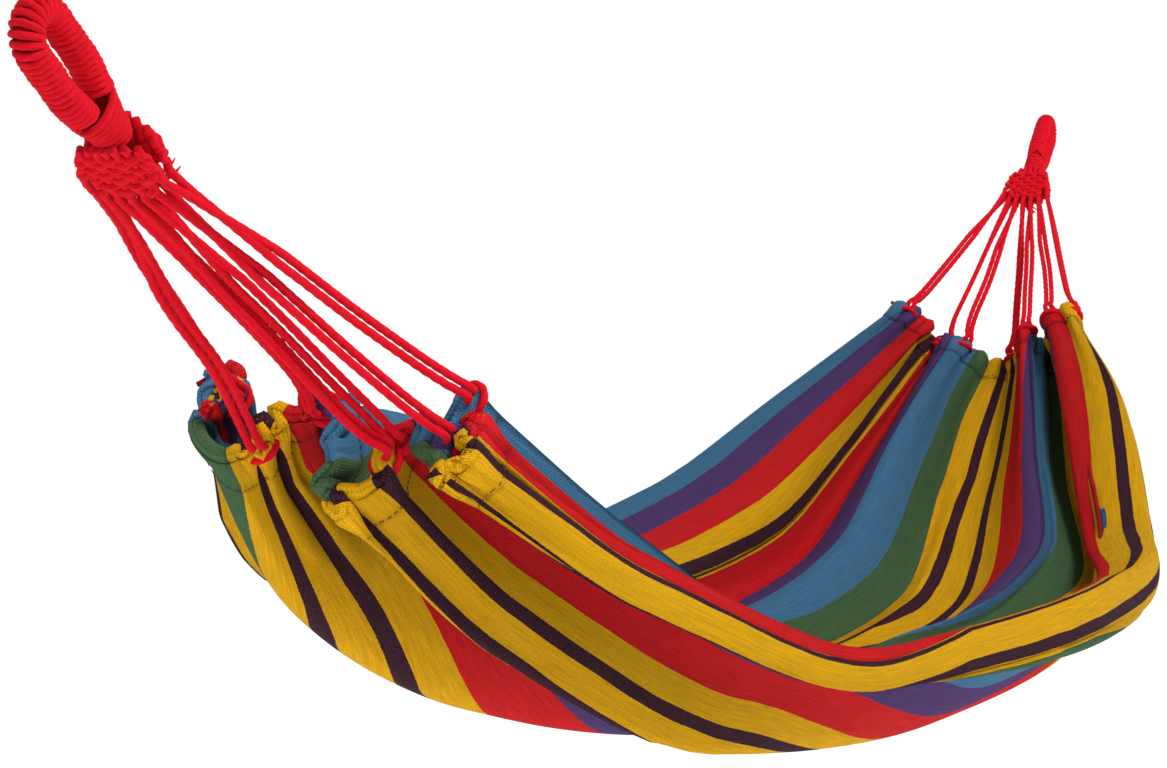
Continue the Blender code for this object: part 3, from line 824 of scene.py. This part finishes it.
def doubled_cord(end, number, count, hem_points, hem_tangents):
    """The line of one doubled cord: collar, leg, hitch round the gathered hem, leg and collar again."""
    _, _, deep = end_axes(end)
    place = cad_tie(end, number)
    wave = WAVES[end][number]
    share = 2 * number / (count - 1) - 1
    k = int(np.argmin(np.linalg.norm(hem_points[:, 1:] - place, axis=1)))
    knot = hem_points[k]
    start = collar_point(end, share, COLLAR_FOOT + COLLAR_SHOULDER * share * share, 0)
    run = unit(knot - start)
    across = unit(hem_tangents[k] - run * (hem_tangents[k] @ run))
    through = np.cross(across, run)
    if through @ KNOT_FACING < 0:
        through = -through
    length = np.linalg.norm(knot - start)
    rng = np.random.default_rng(100 * number + len(end))
    sway_a, sway_b = rng.uniform(-1, 1, 2)
    legs = []
    for side in (-1, 1):
        leg = []
        for t in np.linspace(0.06, 1.0, 14):
            blend = min(1.0, t / LEG_TURNS_OVER)
            apart = deep * (side * LEG_OFFSET_AT_COLLAR) * (1 - blend) + across * (side * LEG_OFFSET) * blend
            bow = math.sin(math.pi * t)
            wobble = across * math.sin(9.5 * t + 2 * sway_a) + through * math.sin(7.3 * t + 3 * sway_b)
            wobble = wobble * wave * bow
            late = max(0.0, (t - LEG_RISES_FROM) / (1 - LEG_RISES_FROM))
            ahead = through * (RING_THROUGH * LEG_RISE) * late ** 1.5
            leg.append(start + run * (length * t - LEG_STOPS_SHORT * (t > 0.99)) + apart + wobble + ahead)
        legs.append(leg)
    centre = knot + run * RING_DROP
    ring = []
    steps = 26
    for step in range(steps + 1):
        t = step / steps
        angle = math.pi / 2 + 2 * math.pi * RING_TURNS * (0.5 - t)
        round_hem = across * (RING_ACROSS * math.cos(angle)) + through * (RING_THROUGH * math.sin(angle))
        ring.append(centre + round_hem + run * (RING_PITCH * (RING_TURNS * t)))
    front = collar_warp(end, number, share, 1)
    back = collar_warp(end, number, share, -1)
    second, first = legs
    if np.linalg.norm(ring[0] - first[-1]) > np.linalg.norm(ring[0] - second[-1]):
        ring = [p - 2 * across * ((p - centre) @ across) for p in ring]
    points = front + first + ring + second[::-1] + back[::-1]
    return rounded(points, 5)[0]


def loop_line(end):
    """The middle line of the loop, from one foot over the crown to the other."""
    neck, up, spread = end_axes(end)
    points = []
    for side in (-1, 1):
        leg = []
        for t in np.linspace(0, 1, 12):
            rise = LOOP_LEG_START + (LOOP_RISE - LOOP_LEG_START) * t
            flare = min(1.0, t / LOOP_FLARE)
            flare = flare * flare * (3 - 2 * flare)
            half = LOOP_START_HALF + (LOOP_HALF - LOOP_START_HALF) * flare
            leg.append(neck + up * rise + spread * (side * half))
        points.append(leg)
    crown = [neck + up * (LOOP_RISE + LOOP_HALF * math.sin(a)) - spread * (LOOP_HALF * math.cos(a))
             for a in np.linspace(0, math.pi, 16)[1:-1]]
    return resampled(np.array(points[0] + crown + points[1][::-1]), 0.0012)


def wrapped_loop(end):
    """The cord wound round the loop, turn against turn."""
    line = loop_line(end)
    run = lengths(line)
    tangent, _, _ = frames_along(line)
    a = np.cross(tangent, SIDE)
    b = np.broadcast_to(SIDE, line.shape)
    turns = run[-1] / WRAP_PITCH
    at = np.linspace(0, run[-1], int(turns * 22))
    angle = 2 * math.pi * at / WRAP_PITCH
    fields = (line, a, b, tangent)
    middle, a, b, tangent = (np.stack([np.interp(at, run, f[:, k]) for k in range(3)], 1) for f in fields)
    lean = WRAP_LEAN * np.cos(angle)
    radius = WRAP_CENTRE + WRAP_UNEVEN * ripple(at, 5 + len(end), 0.004)
    return (middle + a * (radius * np.cos(angle))[:, None] + b * (radius * np.sin(angle))[:, None]
            + tangent * lean[:, None])


def whipping_line(end):
    """The cord wound round both feet of the loop and the ball under them."""
    neck, up, spread = end_axes(end)
    low, high = WHIPPING_HEIGHTS[0], WHIPPING_HEIGHTS[-1]
    turns = (high - low) / WHIPPING_PITCH
    t = np.linspace(0, 1, int(turns * 26))
    height = low + (high - low) * t
    angle = 2 * math.pi * turns * t
    along = np.interp(height, WHIPPING_HEIGHTS, WHIPPING_ALONG)
    across = np.interp(height, WHIPPING_HEIGHTS, WHIPPING_ACROSS)
    return (neck + up * height[:, None] + spread * (along * np.cos(angle))[:, None]
            + SIDE * (across * np.sin(angle))[:, None])


def tuft(end):
    """Frayed ends left where the weft is tied off at the foot of the collar."""
    neck, up, deep = end_axes(end)
    rng = np.random.default_rng(31 + len(end))
    lines = []
    for _ in range(TUFT_ENDS):
        root = neck - up * 0.058 + SIDE * rng.uniform(-0.006, 0.002) + deep * rng.uniform(0.002, 0.007)
        down, out, aside = rng.uniform(0.1, 0.8), rng.uniform(0.5, 1.0), rng.uniform(-0.9, 0.3)
        away = unit(deep * out - up * down + SIDE * aside)
        tip = root + away * rng.uniform(0.012, 0.021)
        bend = (root + tip) / 2 - up * rng.uniform(0.001, 0.005)
        lines.append(rounded([root, bend, tip], 6)[0])
    return lines


def build_cords(end, cloth, red, dark):
    surface = cloth["surface"]
    run = cloth["run"]
    reach = run if end == "head" else run[-1] - run
    row = int(np.argmin(np.abs(reach - HEM_RADIUS)))
    hem = surface[row]
    kernel = np.ones(7) / 7
    padded = np.pad(hem, ((3, 3), (0, 0)), mode="edge")
    eased = np.stack([np.convolve(padded[:, k], kernel, "valid") for k in range(3)], 1)
    tangents = np.gradient(eased, axis=0)
    tangents /= np.maximum(np.linalg.norm(tangents, axis=1, keepdims=True), 1e-9)

    count = len(WAVES[end])
    for number in range(count):
        line = doubled_cord(end, number, count, eased, tangents)
        name = f"{end}_cord_{number + 1}"
        obj = strand_object(name + "_look", [line], red, "bed", name)
    woven = [weft(end, layer, count) for layer in (-1, 1)]
    strand_object(end + "_weave_look", woven, red, "bed", end + "_collar")
    strand_object(end + "_tuft_look", tuft(end), red, "bed", None, radius=0.0011, lay=0.006, sides=6,
                  taper=0.006)
    wound = {"radius": WRAP_CORD, "lay": 0.0085, "sides": 10}
    strand_object(end + "_wrap_look", [wrapped_loop(end)], red, "hangers", end + "_loop_wrap", **wound)
    strand_object(end + "_whipping_look", [whipping_line(end)], red, "hangers", end + "_whipping", **wound)
    before = eased[:1] + unit(eased[0] - eased[3]) * ROPE_STICKS_OUT
    after = eased[-1:] + unit(eased[-1] - eased[-4]) * ROPE_STICKS_OUT
    strand_object(end + "_hem_rope_look", [np.vstack([before, eased, after])], dark, "bed", end + "_hem_rope",
                  radius=HEM_ROPE_RADIUS, lay=0.009, sides=8)


def build_stitches(end, cloth, finish):
    """A row of short stitches on both faces of the cloth, along the seam of a hem."""
    surface = cloth["surface"]
    normal = cloth["normal"]
    row = cloth["hem_rows"] - 2 if end == "head" else len(cloth["run"]) - cloth["hem_rows"] + 1
    line = surface[row]
    lift = normal[row]
    run = lengths(line)
    flat = cloth["flat_u"]
    parts = []
    for k in range(STITCHES):
        ends = np.interp((k + STITCH_SHARES) / STITCHES * CLOTH_WIDTH, flat, run)
        a, b = (np.array([np.interp(e, run, line[:, i]) for i in range(3)]) for e in ends)
        n = unit(np.array([np.interp(ends.mean(), run, lift[:, i]) for i in range(3)]))
        if np.linalg.norm(b - a) < 1e-4:
            continue
        t = unit(b - a)
        s = np.cross(t, n)
        for face in (-1, 1):
            base = n * (face * STITCH_RISE)
            corners = [p + base + (s * aside + n * out) * STITCH_HALF for p in (a, b)
                       for aside, out in ((-1, -1), (1, -1), (1, 1), (-1, 1))]
            quads = [(0, 1, 2, 3), (7, 6, 5, 4), (0, 4, 5, 1), (1, 5, 6, 2), (2, 6, 7, 3), (3, 7, 4, 0)]
            parts.append((np.array(corners), quads, np.zeros((8, 2))))
    obj = mesh_object(end + "_stitches_look", *joined(parts), smooth_faces=False)
    obj.data.materials.append(finish)
    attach(obj, "bed")
    return obj


# ---- camera, light and floor --------------------------------------------------------------------------
def look(obj, position, forward):
    obj.location = position
    obj.rotation_euler = Vector(forward).to_track_quat("-Z", "Y").to_euler()


def build_stage():
    camera_data = bpy.data.cameras.new("camera")
    camera_data.lens = CAMERA_LENS
    camera_data.sensor_width = 36.0
    camera = bpy.data.objects.new("camera", camera_data)
    bpy.context.scene.collection.objects.link(camera)
    look(camera, Vector(NECK) + Vector(CAMERA_FROM_NECK), CAMERA_FORWARD)
    camera_data.clip_end = 100
    bpy.context.scene.camera = camera

    world = bpy.data.worlds.new("studio")
    world.use_nodes = True
    background = world.node_tree.nodes["Background"]
    background.inputs["Color"].default_value = (1, 1, 1, 1)
    seen = world.node_tree.nodes.new("ShaderNodeLightPath").outputs["Is Camera Ray"]
    strength = world.node_tree.nodes.new("ShaderNodeMapRange")
    world.node_tree.links.new(seen, strength.inputs["Value"])
    strength.inputs["To Min"].default_value = WORLD_STRENGTH
    strength.inputs["To Max"].default_value = 1.0
    world.node_tree.links.new(strength.outputs["Result"], background.inputs["Strength"])
    bpy.context.scene.world = world
    for name, place, size, power in LIGHTS:
        data = bpy.data.lights.new(name, "AREA")
        data.size = size
        data.energy = power
        light = bpy.data.objects.new(name, data)
        bpy.context.scene.collection.objects.link(light)
        look(light, place, Vector(LIGHTS_TARGET) - Vector(place))

    mesh = bpy.data.meshes.new("floor")
    size = FLOOR_SIZE
    mesh.from_pydata([(-size, -size, FLOOR_LEVEL), (size, -size, FLOOR_LEVEL), (size, size, FLOOR_LEVEL),
                      (-size, size, FLOOR_LEVEL)], [], [(0, 1, 2, 3)])
    floor = bpy.data.objects.new("floor", mesh)
    bpy.context.scene.collection.objects.link(floor)
    n = Nodes("floor")
    n.shader.inputs["Base Color"].default_value = (0.9, 0.9, 0.9, 1)
    n.shader.inputs["Roughness"].default_value = 1.0
    n.shader.inputs["Specular IOR Level"].default_value = 0.0
    n.shader.inputs["Emission Color"].default_value = (1, 1, 1, 1)
    n.shader.inputs["Emission Strength"].default_value = 0.62
    floor.data.materials.append(n.material)
    bpy.context.scene.view_settings.view_transform = "Standard"
    bpy.context.scene.view_settings.look = "None"


# ---- the whole ----------------------------------------------------------------------------------------
def main():
    cloth_finish = cloth_material()
    red = cord_material("red cord", (0.76, 0.004, 0.018), (0.40, 0.001, 0.006))
    # A darker copy of the red cord; on the loop cores it is painted shade between the wrapping turns.
    dark = cord_material("dark cord and painted core shade", (0.36, 0.002, 0.008), (0.16, 0.0, 0.003))
    thread = Nodes("dark thread")
    thread.shader.inputs["Base Color"].default_value = (0.06, 0.015, 0.03, 1)
    thread.shader.inputs["Roughness"].default_value = 0.9
    build_stage()
    made, cloth = build_cloth(cloth_finish)
    stitches = [build_stitches(end, cloth, thread.material) for end in ENDS]
    for end in ENDS:
        build_cords(end, cloth, red, dark)
        # The loop core takes the darker cord copy: painted shade showing between the wraps.
        core = frame["nodes"][end + "_loop_core"]
        core.data.materials.clear()
        core.data.materials.append(dark)


main()
